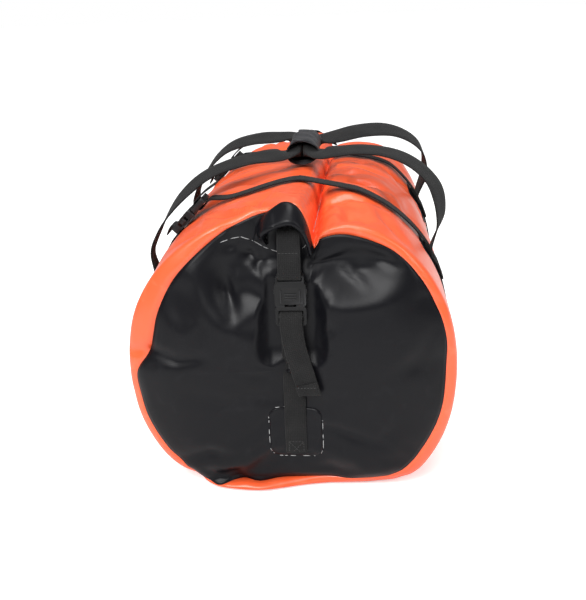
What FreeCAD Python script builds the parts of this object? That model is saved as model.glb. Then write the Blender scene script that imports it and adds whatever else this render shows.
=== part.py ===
import FreeCAD, Part
import os
from FreeCAD import Placement, Rotation, Vector

# A roll-top duffel dry bag lying full on its flat underside, in millimetres.
# X runs across the bag, Y along it from the front end (-Y) to the rear end, Z up.
# The origin is on the ground under the middle of the bag.

DRIVING = {
    "bag_length": 620.0, "half_width": 186.0, "floor_half": 112.0, "floor_rise": 2.7,
    "widest_height": 145.0, "shoulder_x": 135.0, "shoulder_height": 279.0,
    "lobe_x": 45.0, "lobe_height": 315.0, "wall": 1.4,
    "dome_radius": 1300.0, "dome_rise": 8.0, "dome_centre_height": 160.0,
    "roll_x": 4.0, "neck_width": 16.0, "mouth_margin": 25.0, "roll_width": 44.0, "roll_height": 21.0,
    "roll_bottom": 315.2, "roll_round": 8.0, "flap_drop": 36.0, "flap_thick": 9.0,
    "strip_width": 32.0, "strip_thick": 2.0,
    "web_width": 25.0, "web_thick": 1.6, "girth_y": 155.0, "patch_thick": 1.0,
    "patch_length": 62.0, "patch_width": 54.0, "end_patch_height": 79.0,
    "handle_web": 38.0, "handle_thick": 2.2, "grip_width": 14.0, "grip_thick": 9.0,
    "wrap_length": 104.0, "wrap_width": 38.0, "wrap_height": 24.0, "wrap_wall": 2.0,
    "grip_height": 354.0,
    "buckle_width": 34.0, "female_length": 36.0, "female_thick": 10.5, "buckle_skin": 2.0,
    "cavity_width": 27.2, "cavity_length": 25.0, "window_start": 10.0, "window_length": 14.0,
    "slot_start": 29.0, "slot_width": 4.5, "slot_length": 27.0, "buckle_round": 2.0,
    "male_length": 22.0, "male_thick": 7.5, "buckle_gap": 0.3, "ladder_slot": 4.0,
    "tongue_width": 7.0, "tongue_length": 22.0, "tongue_thick": 2.5,
    "arm_inner": 9.5, "arm_width": 3.2, "arm_length": 22.0, "arm_thick": 5.2,
    "button_start": 11.5, "button_out": 18.2,
    "end_buckle_height": 236.0, "end_buckle_y": 320.0,
    "girth_mouth_x": 127.5, "girth_mouth_height": 300.0, "girth_tilt": 45.0,
    "girth_left_end": 246.0, "girth_right_end": 250.0,
}

doc = FreeCAD.newDocument("dry_bag")
sheet = doc.addObject("Spreadsheet::Sheet", "sizes")
for row, (alias, value) in enumerate(DRIVING.items(), start=1):
    sheet.set(f"A{row}", alias)
    sheet.set(f"B{row}", str(value))
    sheet.setAlias(f"B{row}", alias)
doc.recompute()

subparts = {}


def size(alias):
    return float(getattr(sheet, alias))


def bind(obj, **expressions):
    """Tie properties of an object to cells of the sheet."""
    for prop, text in expressions.items():
        words = text
        for alias in sorted(DRIVING, key=len, reverse=True):
            words = words.replace(f"<{alias}>", f"sizes.{alias}")
        obj.setExpression(prop.replace("_at_", ".Base."), words)
    return obj


def block(name, length, width, height, x, y, z):
    """A box whose sizes and corner are expressions, with cell names in angle brackets."""
    obj = doc.addObject("Part::Box", name)
    bind(obj, Length=length, Width=width, Height=height)
    bind(obj, Placement_at_x=x, Placement_at_y=y, Placement_at_z=z)
    return obj


def cut(name, base, *tools):
    obj = doc.addObject("Part::Cut", name)
    obj.Base = base
    if len(tools) == 1:
        obj.Tool = tools[0]
        return obj
    obj.Tool = fuse(name + "_tools", *tools)
    return obj


def fuse(name, *shapes):
    obj = doc.addObject("Part::MultiFuse", name)
    obj.Shapes = list(shapes)
    return obj


def common(name, base, tool):
    obj = doc.addObject("Part::Common", name)
    obj.Base = base
    obj.Tool = tool
    return obj


def soften(name, base, radius, chosen):
    """Round the edges of base that chosen picks."""
    doc.recompute()
    obj = doc.addObject("Part::Fillet", name)
    obj.Base = base
    edges = base.Shape.Edges
    obj.Edges = [(i + 1, radius, radius) for i, edge in enumerate(edges) if chosen(edge)]
    return obj


def along(axis):
    """An edge test: straight and parallel to one axis."""
    def test(edge):
        if not isinstance(edge.Curve, Part.Line):
            return False
        return abs(edge.Curve.Direction.dot(axis)) > 0.999
    return test


def solid_feature(name, shape):
    obj = doc.addObject("Part::Feature", name)
    obj.Shape = shape
    return obj


def keep(node, obj, placement=None):
    """Name a finished sub-part after its file and put it in place."""
    obj.Label = node
    if placement is not None:
        obj.Placement = placement
    subparts[node] = obj


def turned(obj, name, half_turn):
    """The same piece, or its copy turned half round the bag's upright axis."""
    shape = obj.Shape.copy()
    if half_turn:
        shape.rotate(Vector(0, 0, 0), Vector(0, 0, 1), 180)
    return solid_feature(name, shape)


# ---------------------------------------------------------------- the bag's cross section

def section_sketch():
    """Flat underside, full sides, round shoulders and two lobes beside the closure."""
    half, floor = size("half_width"), size("floor_rise")
    corner = Vector(size("floor_half"), floor, 0)
    side = Vector(half, size("widest_height"), 0)
    shoulder = Vector(size("shoulder_x"), size("shoulder_height"), 0)
    lobe = Vector(size("lobe_x"), size("lobe_height"), 0)
    bends = [
        (corner, Vector(half * 0.885, floor + 50, 0), side),
        (side, Vector(half * 0.95, size("widest_height") + 78, 0), shoulder),
        (shoulder, Vector(size("lobe_x") * 2.05, size("lobe_height") - 13, 0), lobe),
    ]

    def flip(point):
        return Vector(-point.x, point.y, 0)

    sketch = doc.addObject("Sketcher::SketchObject", "section")
    curves = [Part.LineSegment(flip(corner), corner)]
    curves += [Part.Arc(*bend) for bend in bends]
    curves += [Part.LineSegment(lobe, flip(lobe))]
    curves += [Part.Arc(*[flip(point) for point in reversed(bend)]) for bend in reversed(bends)]
    sketch.addGeometry(curves)
    sketch.Placement = Placement(Vector(0, 0, 0), Rotation(Vector(1, 0, 0), 90))
    return sketch


section = section_sketch()
doc.recompute()
outline = section.Shape.Wires[0]


def ring_shape(inner, outer, y_start, length):
    """The space between two offsets of the section, drawn out along the bag."""
    def solid(offset):
        wire = outline.makeOffset2D(offset) if offset else outline.copy()
        prism = Part.Face(wire).extrude(Vector(0, length, 0))
        prism.translate(Vector(0, y_start, 0))
        return prism
    return solid(outer).cut(solid(inner))


def ring(name, inner, outer, y_start, length):
    return solid_feature(name, ring_shape(inner, outer, y_start, length))


half_length = size("bag_length") / 2
mouth_slot = block("mouth_slot", "<neck_width>", "<bag_length> - 2 * <mouth_margin>", "60",
                   "<roll_x> - <neck_width> / 2", "-<bag_length> / 2 + <mouth_margin>",
                   "<lobe_height> - 30")
skin = ring("skin", -size("wall"), 0, -half_length, size("bag_length"))
keep("body_panel", cut("body_panel_cut", skin, mouth_slot))

# ---------------------------------------------------------------- domed end panels

inside = Part.Face(outline.makeOffset2D(-size("wall") - 0.05)).extrude(Vector(0, -60, 0))
inside.translate(Vector(0, -half_length + 40, 0))
apex_y = -half_length - size("dome_rise")


def dome_shell(thickness_in, thickness_out):
    centre = Vector(0, apex_y + size("dome_radius"), size("dome_centre_height"))
    outer = Part.makeSphere(size("dome_radius") + thickness_out, centre)
    return outer.cut(Part.makeSphere(size("dome_radius") - thickness_in, centre))


front_end = solid_feature("front_end", dome_shell(size("wall"), 0).common(inside))
end_patch_block = block("end_patch_block", "<patch_width>", "40", "<patch_length>",
                        "<roll_x> - <patch_width> / 2", "-<bag_length> / 2 - 30",
                        "<end_patch_height> - <patch_length> / 2")
end_patch_round = soften("end_patch_round", end_patch_block, 8.0, along(Vector(0, 1, 0)))
doc.recompute()
front_patch_shape = dome_shell(0, size("patch_thick")).common(end_patch_round.Shape)
front_patch = solid_feature("front_patch", front_patch_shape)

# ---------------------------------------------------------------- roll-top closure

roll_top = size("roll_bottom") + size("roll_height")
roll_block = block("roll_block", "<roll_width>", "<bag_length> + 2 * <dome_rise>", "<roll_height>",
                   "<roll_x> - <roll_width> / 2", "-<bag_length> / 2 - <dome_rise>", "<roll_bottom>")
roll_round = soften("roll_round_edges", roll_block, size("roll_round"), along(Vector(0, 1, 0)))
strip_pocket = block("strip_pocket", "<strip_width> + 1", "<bag_length> - 18", "<strip_thick> + 1",
                     "<roll_x> - <strip_width> / 2 - 0.5", "-<bag_length> / 2 + 9",
                     "<roll_bottom> + <roll_height> / 2 - <strip_thick> / 2 - 0.5")
neck = block("neck", "<neck_width>", "<bag_length> - 2 * <mouth_margin>",
             "<roll_bottom> - <lobe_height> + 12", "<roll_x> - <neck_width> / 2",
             "-<bag_length> / 2 + <mouth_margin>", "<lobe_height> - 10")
flaps = []
for end in (-1, 1):
    front_y = "-<bag_length> / 2 - <dome_rise> - <flap_thick>"
    flap_y = front_y if end < 0 else "<bag_length> / 2 + <dome_rise>"
    flap = block(f"flap_{'front' if end < 0 else 'rear'}", "<roll_width>", "<flap_thick>",
                 "<flap_drop> + <roll_height> - 2", "<roll_x> - <roll_width> / 2", flap_y,
                 "<roll_bottom> - <flap_drop>")
    flaps.append(soften(flap.Name + "_round", flap, 4.0, along(Vector(0, 1, 0))))
roll = cut("closure_roll_cut", fuse("roll_all", roll_round, neck, *flaps), strip_pocket)
keep("closure_roll", roll)
keep("closure_stiffener", block("stiffener", "<strip_width>", "<bag_length> - 20", "<strip_thick>",
                                "<roll_x> - <strip_width> / 2", "-<bag_length> / 2 + 10",
                                "<roll_bottom> + <roll_height> / 2 - <strip_thick> / 2"))

# ---------------------------------------------------------------- webbing

def ribbon(stations, core_height):
    """A flat band through stations of (point, width, thickness), its face turned away
    from the line along the bag at core_height."""
    wires = []
    for i, (point, width, thick) in enumerate(stations):
        before = stations[max(i - 1, 0)][0]
        after = stations[min(i + 1, len(stations) - 1)][0]
        run = (after - before).normalize()
        out = Vector(point.x, 0, point.z - core_height)
        out = (out - run * out.dot(run)).normalize()
        across = run.cross(out) * (width / 2)
        lift = out * (thick / 2)
        corners = [point + across + lift, point - across + lift, point - across - lift,
                   point + across - lift]
        wires.append(Part.makePolygon(corners + corners[:1]))
    return Part.makeLoft(wires, True, True)


def flat_run(points, across, thick):
    """A flat band of one width whose bends all lie in the X-Z or Y-Z plane."""
    width = across.Length
    side = across * (1 / width)
    upper, lower = [], []
    for i, point in enumerate(points):
        before = points[max(i - 1, 0)]
        after = points[min(i + 1, len(points) - 1)]
        normal = side.cross(after - before).normalize() * (thick / 2)
        upper.append(point + normal)
        lower.append(point - normal)
    edge = Part.makePolygon(upper + lower[::-1] + upper[:1])
    face = Part.Face(edge)
    band = face.extrude(side * width)
    band.translate(side * (-width / 2))
    return band


web, thin = size("web_width"), size("web_thick")
roll_x = size("roll_x")
end_y = -size("end_buckle_y")
mouth_z = size("end_buckle_height")

def in_buckle(place, points):
    """Points given as (towards the female half, out from the bag) in a buckle's own frame."""
    return [place.multVec(Vector(0, y, z)) for y, z in points]


def bar_loop():
    """Round the bar of the female half, from behind it through the slot to its front."""
    slot_y = size("slot_start") + 2.0
    behind, front = -1.5, size("female_thick") + 1.7
    return [(slot_y + 9, behind), (slot_y + 2.4, behind), (slot_y, 1.1),
            (slot_y, size("female_thick") - 1.1),
            (slot_y + 2.4, front), (slot_y + 7, front - 0.8)]


def ladder_loop():
    """Behind the ladder lock, through its upper slot and down over its front."""
    slot_y = -7.4
    behind, front = -0.6, size("female_thick") + 0.6
    return [(slot_y - 17, behind), (slot_y - 2.4, behind), (slot_y, 2.0),
            (slot_y, size("female_thick") - 2.1),
            (slot_y - 2.4, front), (slot_y - 18, front)]


end_place = Placement(Vector(roll_x, end_y, mouth_z), Rotation(Vector(1, 0, 0), 90))
across_end = Vector(web, 0, 0)

# Tab of webbing: from the folded roll end, down over the bar of the female half and up behind it.
tab_y = -half_length - size("dome_rise") - size("flap_thick") - thin / 2 - 0.1
flap_foot = size("roll_bottom") - size("flap_drop")
tab_points = [Vector(roll_x, tab_y, roll_top - 14), Vector(roll_x, tab_y, flap_foot + 3)]
tab_points += in_buckle(end_place, bar_loop()[::-1])
front_tab = solid_feature("front_tab", flat_run(tab_points, across_end, thin))

# End strap: sewn to the patch, up through the ladder lock and down again as a free tail.
foot_y = apex_y - size("patch_thick") - thin / 2 + 2.3
strap_points = [Vector(roll_x, foot_y, 56), Vector(roll_x, foot_y - 1.6, 104),
                Vector(roll_x, end_y + 0.2, 158)]
strap_points += in_buckle(end_place, ladder_loop())
strap_points += in_buckle(end_place, [(-70, 9.5), (-118, 6.5)])
front_strap = solid_feature("front_strap_solid", flat_run(strap_points, across_end, thin))

# ---------------------------------------------------------------- side-release buckle

def inner_boxes(prefix):
    """The plain boxes that the buckle's pieces are cut from, all in the buckle's own frame:
    X across, Y from the mouth into the female half, Z out from the bag."""
    female = block(prefix + "shell", "<buckle_width>", "<female_length>", "<female_thick>",
                   "-<buckle_width> / 2", "0", "0")
    cavity = block(prefix + "cavity", "<cavity_width>", "<cavity_length> + 1",
                   "<female_thick> - 2 * <buckle_skin>", "-<cavity_width> / 2", "-1", "<buckle_skin>")
    windows = block(prefix + "windows", "<buckle_width> + 4", "<window_length>",
                    "<female_thick> - 2 * <buckle_skin>", "-<buckle_width> / 2 - 2", "<window_start>",
                    "<buckle_skin>")
    slot = block(prefix + "slot", "<slot_length>", "<slot_width>", "<female_thick> + 2",
                 "-<slot_length> / 2", "<slot_start>", "-1")
    return female, cavity, windows, slot


female_box, cavity_box, window_box, slot_box = inner_boxes("female_")
female_soft = soften("female_soft", female_box, size("buckle_round"), lambda edge: True)
female_master = cut("female_master", female_soft, cavity_box, window_box, slot_box)

male_box = block("male_box", "<buckle_width>", "<male_length>", "<male_thick>", "-<buckle_width> / 2",
                 "-<male_length> - <buckle_gap>", "(<female_thick> - <male_thick>) / 2")
male_soft = soften("male_soft", male_box, size("buckle_round"), lambda edge: True)
ladder_slots = []
for place, start in (("upper", "-9.5"), ("lower", "-17.5")):
    ladder_slots.append(block(f"ladder_{place}", "<slot_length>", "<ladder_slot>", "<female_thick>",
                              "-<slot_length> / 2", start, "0"))
tongue = block("tongue", "<tongue_width>", "<tongue_length> + 3", "<tongue_thick>",
               "-<tongue_width> / 2", "-3", "(<female_thick> - <tongue_thick>) / 2")
male_master = fuse("male_master", cut("male_frame", male_soft, *ladder_slots), tongue)

arm_box = block("arm_box", "<arm_width>", "<arm_length>", "<arm_thick>", "<arm_inner>", "0.1",
                "(<female_thick> - <arm_thick>) / 2")
button_box = block("button_box", "<button_out> - <arm_inner> - 1", "<arm_length> - <button_start>",
                   "<arm_thick>", "<arm_inner> + 1", "<button_start>",
                   "(<female_thick> - <arm_thick>) / 2")
button_soft = soften("button_soft", button_box, 1.8, along(Vector(0, 0, 1)))
arm_master = fuse("arm_master", arm_box, button_soft)
doc.recompute()


def put_buckle(label, place):
    """One side-release buckle: female half, male half with ladder lock, and its two sprung arms."""
    other_arm = arm_master.Shape.mirror(Vector(0, 0, 0), Vector(1, 0, 0))
    pieces = {"female": female_master.Shape, "male": male_master.Shape,
              "arm_a": arm_master.Shape, "arm_b": other_arm}
    for piece, shape in pieces.items():
        node = f"{label}_buckle_{piece}"
        keep(node, solid_feature(node, shape.copy()), place)


half_turn = Placement(Vector(0, 0, 0), Rotation(Vector(0, 0, 1), 180))
put_buckle("front", end_place)
put_buckle("rear", half_turn * end_place)

for end, spin in (("front", False), ("rear", True)):
    keep(f"{end}_end_panel", turned(front_end, f"{end}_end_panel_solid", spin))
    keep(f"{end}_strap_patch", turned(front_patch, f"{end}_strap_patch_solid", spin))
    keep(f"{end}_tab_webbing", turned(front_tab, f"{end}_tab_solid", spin))
    keep(f"{end}_strap", turned(front_strap, f"{end}_strap_solid_placed", spin))

# ---------------------------------------------------------------- girth straps over the bag

def side_patch(node, side, y_centre, low, high):
    """A welded patch on the side of the bag that follows the section."""
    band = ring_shape(0, size("patch_thick"), y_centre - size("patch_width") / 2, size("patch_width"))
    start = 0 if side > 0 else -400
    region = Part.makeBox(400, size("patch_width"), high - low,
                          Vector(start, y_centre - size("patch_width") / 2, low))
    keep(node, solid_feature(node, band.common(region)))


def beside(side, y, height, lift):
    """The point at a height on the bag's left (-1) or right (1) side, lifted off its skin."""
    level = Part.makeLine(Vector(0, 0, height), Vector(side * 400, 0, height))
    point = outline.section(level).Vertexes[0].Point
    away = Vector(point.x, 0, point.z - size("widest_height")).normalize()
    return point + away * lift + Vector(0, y, 0)


def under_bag(y, lift):
    """Points along the section from its right side, under the bag, to its left side."""
    points = outline.makeOffset2D(lift).discretize(Number=151)[:-1]
    low = [p.z < (size("girth_right_end") if p.x > 0 else size("girth_left_end")) for p in points]
    start = next(i for i in range(len(points)) if low[i] and not low[i - 1])
    path = [points[(start + i) % len(points)] for i in range(sum(low))]
    if path[0].x < 0:
        path.reverse()
    return [Vector(p.x, y, p.z) for p in path]


mouth = Vector(-size("girth_mouth_x"), 0, size("girth_mouth_height"))
side_web = Vector(0, web, 0)
tilt = Rotation(Vector(0, 1, 0), -size("girth_tilt"))
down_slope = tilt.multVec(Vector(-1, 0, 0))
outward = tilt.multVec(Vector(0, 0, 1))
girth_matrix = FreeCAD.Matrix(0, down_slope.x, outward.x, 0, 1, down_slope.y, outward.y, 0,
                              0, down_slope.z, outward.z, 0, 0, 0, 0, 1)
gap = size("patch_thick") + 0.1

for end, sign in (("front", -1), ("rear", 1)):
    y = sign * size("girth_y")
    side_patch(f"{end}_left_patch", -1, y, 178, 236)
    side_patch(f"{end}_right_patch", 1, y, 205, 263)

    place = Placement(mouth + Vector(0, y, 0), Placement(girth_matrix).Rotation)
    put_buckle(f"{end}_girth", place)

    # Lower strap: from the right side under the bag, up the left side and round the female's bar.
    under = under_bag(y, gap + thin / 2) + in_buckle(place, bar_loop())
    keep(f"{end}_girth_lower", solid_feature(f"{end}_girth_lower_solid", flat_run(under, side_web, thin)))

    # Top strap: from the right anchor over the lobes and the roll, through the ladder lock and
    # back over itself as a short tail.
    over = [beside(1, y, size("girth_right_end") + rise, gap + thin / 2 + 0.4)
            for rise in (2, 12, 22, 31, 39, 46)]
    over += [Vector(x, y, z) for x, z in ((97, 309), (54, 329), (24, 342), (4, 345), (-16, 343),
                                          (-55, 333), (-88, 325))]
    over += in_buckle(place, ladder_loop() + [(-44, size("female_thick") + 1.5)])
    keep(f"{end}_girth_top", solid_feature(f"{end}_girth_top_solid", flat_run(over, side_web, thin)))

# ---------------------------------------------------------------- carry handles

def handle(node, side, leg):
    """A webbing loop: two legs mirrored front to rear, folded narrow where the hand holds them."""
    wide, thick = size("handle_web"), size("handle_thick")
    narrow, fat = size("grip_width"), size("grip_thick")
    grip_x = side * (narrow / 2 + 2.0)
    half_wrap = size("wrap_length") / 2
    front = []
    for i, (x, y, z) in enumerate(leg):
        share = max(0.0, (i - len(leg) + 3) / 3.0)
        front.append((Vector(x, y, z), wide + (narrow - wide) * share, thick + (fat - thick) * share))
    grip = [(Vector(grip_x, -half_wrap - 5, size("grip_height")), narrow, fat),
            (Vector(grip_x, half_wrap + 5, size("grip_height")), narrow, fat)]
    rear = [(Vector(p.x, -p.y, p.z), w, t) for p, w, t in reversed(front)]
    keep(node, solid_feature(node, ribbon(front + grip + rear, size("dome_centre_height"))))


left_leg = [(-184.5, -155, 224), (-188, -151, 245), (-187, -144, 268), (-171, -134, 294),
            (-149, -120, 318), (-120, -103, 337), (-80, -82, 350), (-40, -64, 354)]
right_leg = [(170.5, -155, 250), (176, -151, 276), (177, -143, 302), (168, -131, 326),
             (148, -116, 346), (118, -100, 357), (79, -80, 360), (40, -64, 356)]
handle("left_handle", -1, left_leg)
handle("right_handle", 1, right_leg)

wrap_outer = block("wrap_outer", "<wrap_width>", "<wrap_length>", "<wrap_height>", "-<wrap_width> / 2",
                   "-<wrap_length> / 2", "<grip_height> - <wrap_height> / 2")
wrap_round = soften("wrap_round", wrap_outer, 7.0, along(Vector(0, 1, 0)))
wrap_hole = block("wrap_hole", "<wrap_width> - 2 * <wrap_wall>", "<wrap_length> + 2",
                  "<wrap_height> - 2 * <wrap_wall>", "-<wrap_width> / 2 + <wrap_wall>",
                  "-<wrap_length> / 2 - 1", "<grip_height> - <wrap_height> / 2 + <wrap_wall>")
wrap_hole_round = soften("wrap_hole_round", wrap_hole, 5.0, along(Vector(0, 1, 0)))
keep("handle_wrap", cut("handle_wrap_cut", wrap_round, wrap_hole_round))

# ---------------------------------------------------------------- check and write

doc.recompute()
for obj in doc.Objects:
    if "Invalid" in obj.State or "Error" in obj.State:
        raise RuntimeError(f"{obj.Name} failed: {obj.State}")
for node, obj in subparts.items():
    if obj.Shape.isNull() or not obj.Shape.isValid() or not obj.Shape.Solids:
        raise RuntimeError(f"{node} is not a valid solid")

os.makedirs("parts", exist_ok=True)
for node, obj in subparts.items():
    obj.Shape.exportStep(f"parts/{node}.step")
print(len(subparts), "sub-parts written")
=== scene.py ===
import math
import random

import bmesh
import bpy
import numpy as np
from mathutils import Matrix, Vector


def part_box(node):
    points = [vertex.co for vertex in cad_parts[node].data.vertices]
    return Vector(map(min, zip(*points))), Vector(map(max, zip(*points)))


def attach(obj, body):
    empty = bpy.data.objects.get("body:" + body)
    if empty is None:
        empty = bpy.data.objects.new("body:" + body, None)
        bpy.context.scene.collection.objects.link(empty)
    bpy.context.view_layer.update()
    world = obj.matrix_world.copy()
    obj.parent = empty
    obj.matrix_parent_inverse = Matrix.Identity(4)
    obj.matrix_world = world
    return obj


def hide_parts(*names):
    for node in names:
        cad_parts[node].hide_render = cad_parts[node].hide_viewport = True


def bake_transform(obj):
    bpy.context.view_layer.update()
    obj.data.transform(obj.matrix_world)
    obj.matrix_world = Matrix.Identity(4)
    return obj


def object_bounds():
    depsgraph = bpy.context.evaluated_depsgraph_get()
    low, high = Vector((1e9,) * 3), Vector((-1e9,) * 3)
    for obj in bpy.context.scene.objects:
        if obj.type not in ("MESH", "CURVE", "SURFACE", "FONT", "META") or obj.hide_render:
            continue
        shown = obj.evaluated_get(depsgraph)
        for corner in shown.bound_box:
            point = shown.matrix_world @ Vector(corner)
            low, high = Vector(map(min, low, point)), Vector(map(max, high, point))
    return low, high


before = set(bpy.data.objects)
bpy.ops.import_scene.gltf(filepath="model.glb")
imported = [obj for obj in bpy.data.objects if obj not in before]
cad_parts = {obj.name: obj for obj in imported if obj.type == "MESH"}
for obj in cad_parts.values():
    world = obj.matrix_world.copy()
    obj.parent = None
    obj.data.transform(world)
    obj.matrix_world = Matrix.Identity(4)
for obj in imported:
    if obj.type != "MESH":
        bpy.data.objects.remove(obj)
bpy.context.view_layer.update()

random.seed(7)

# Driving sizes, in metres
RIM_Y = 0.305              # where the tube's side turns into the end ring
RING_Y = 0.3125            # where the end ring meets the black panel
WALL = 0.0012              # tarpaulin
WEB = 0.025                # girth and end webbing
WEB_THICK = 0.0017
HANDLE_WEB = 0.038
STRAP_X = 0.004            # middle of the end straps
GIRTH_Y = 0.155
CHANNEL_Y = 0.3180         # the end panel never stands out further than this behind the buckle
CORE_Z = 0.16              # height of the line that the section's sides face away from
OUTSIDE = 0.5              # well clear of the bag, where looks at its surface start
HINGE_Z = {"left": 0.2215, "right": 0.2475}
GRIP_Z = 0.354
ENDS = (("front", -1), ("rear", 1))


# ---------------------------------------------------------------- camera, floor and light

def placed_in_scene(name, data):
    holder = bpy.data.objects.new(name, data)
    bpy.context.scene.collection.objects.link(holder)
    return holder


def build_stage():
    """A white floor and world that look even to the camera, and soft light from above."""
    floor_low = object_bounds()[0][2]
    bpy.ops.mesh.primitive_plane_add(size=60, location=(0, 0, floor_low))
    floor = bpy.context.object
    floor.name = "studio_floor"
    paint = bpy.data.materials.new("studio_white")
    paint.use_nodes = True
    shader = paint.node_tree.nodes["Principled BSDF"]
    shader.inputs["Base Color"].default_value = (0.93, 0.93, 0.93, 1)
    shader.inputs["Roughness"].default_value = 0.9
    shader.inputs["Specular IOR Level"].default_value = 0.1
    glow = paint.node_tree.nodes.new("ShaderNodeLightPath")
    lift = paint.node_tree.nodes.new("ShaderNodeMath")
    lift.operation = "MULTIPLY"
    lift.inputs[1].default_value = 0.48
    shader.inputs["Emission Color"].default_value = (1, 1, 1, 1)
    paint.node_tree.links.new(glow.outputs["Is Camera Ray"], lift.inputs[0])
    paint.node_tree.links.new(lift.outputs[0], shader.inputs["Emission Strength"])
    floor.data.materials.append(paint)

    world = bpy.data.worlds.new("studio")
    bpy.context.scene.world = world
    world.use_nodes = True
    sky = world.node_tree.nodes["Background"]
    sky.inputs["Color"].default_value = (1, 1, 1, 1)
    seen = world.node_tree.nodes.new("ShaderNodeLightPath")
    strength = world.node_tree.nodes.new("ShaderNodeMix")
    strength.inputs[2].default_value = 0.20
    strength.inputs[3].default_value = 1.0
    world.node_tree.links.new(seen.outputs["Is Camera Ray"], strength.inputs["Factor"])
    world.node_tree.links.new(strength.outputs[0], sky.inputs["Strength"])

    sun = bpy.data.lights.new("overcast", "SUN")
    sun.energy = 1.7
    sun.angle = math.radians(70)
    placed_in_scene("overcast", sun).rotation_euler = (math.radians(28), math.radians(-14), 0)
    for name, place, target, size, power in (
            ("key_softbox", (-0.6, -1.9, 1.75), (0, -0.2, 0.2), 1.0, 34),
            ("fill_softbox", (1.7, -0.9, 1.4), (0, 0, 0.15), 1.0, 10),
            ("top_softbox", (0.2, 0.3, 2.0), (0, 0, 0.3), 1.1, 16)):
        lamp = bpy.data.lights.new(name, "AREA")
        lamp.size = size
        lamp.energy = power
        holder = placed_in_scene(name, lamp)
        holder.location = place
        aim = Vector(target) - Vector(place)
        holder.rotation_euler = aim.to_track_quat("-Z", "Y").to_euler()


def build_camera():
    lens = bpy.data.cameras.new("studio_camera")
    lens.sensor_fit = "AUTO"
    lens.sensor_width = 36
    lens.lens = 49.3
    camera = placed_in_scene("studio_camera", lens)
    yaw, pitch, roll = math.radians(5.5), math.radians(20.0), math.radians(-2.3)
    forward = Vector((-math.sin(yaw) * math.cos(pitch), math.cos(yaw) * math.cos(pitch), -math.sin(pitch)))
    right = Vector((math.cos(yaw), math.sin(yaw), 0))
    up = right.cross(forward)
    tilted_right = right * math.cos(roll) + up * math.sin(roll)
    tilted_up = up * math.cos(roll) - right * math.sin(roll)
    turn = Matrix((tilted_right, tilted_up, -forward)).transposed()
    camera.matrix_world = Matrix.Translation((0.087, -1.161, 0.548)) @ turn.to_4x4()
    bpy.context.scene.camera = camera


bpy.context.scene.view_settings.view_transform = "Standard"
build_stage()
build_camera()


# ---------------------------------------------------------------- material parts

def new_group(name, inputs, outputs):
    group = bpy.data.node_groups.new(name, "ShaderNodeTree")
    for label, kind, value in inputs:
        socket = group.interface.new_socket(label, in_out="INPUT", socket_type=kind)
        if value is not None:
            socket.default_value = value
    for label, kind in outputs:
        group.interface.new_socket(label, in_out="OUTPUT", socket_type=kind)
    return group, group.nodes.new("NodeGroupInput"), group.nodes.new("NodeGroupOutput")


def math_node(tree, operation, first, second=None, clamp=False):
    node = tree.nodes.new("ShaderNodeMath")
    node.operation = operation
    node.use_clamp = clamp
    for slot, value in ((0, first), (1, second)):
        if value is None:
            continue
        if isinstance(value, (int, float)):
            node.inputs[slot].default_value = value
        else:
            tree.links.new(value, node.inputs[slot])
    return node.outputs[0]


def colour_mix(tree, share, low, high):
    node = tree.nodes.new("ShaderNodeMix")
    node.data_type = "RGBA"
    for socket, value in ((node.inputs["Factor"], share), (node.inputs["A"], low), (node.inputs["B"], high)):
        if isinstance(value, (tuple, list, float, int)):
            socket.default_value = value
        else:
            tree.links.new(value, socket)
    return node.outputs["Result"]


def plus(tree, first, second, clamp=False):
    return math_node(tree, "ADD", first, second, clamp)


def times(tree, first, second, clamp=False):
    return math_node(tree, "MULTIPLY", first, second, clamp)


def texture(tree, kind, where, **settings):
    """A texture node read at a place, with its settings."""
    node = tree.nodes.new(f"ShaderNodeTex{kind}")
    for label, value in settings.items():
        node.inputs[label].default_value = value
    tree.links.new(where, node.inputs["Vector"])
    return node


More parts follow.
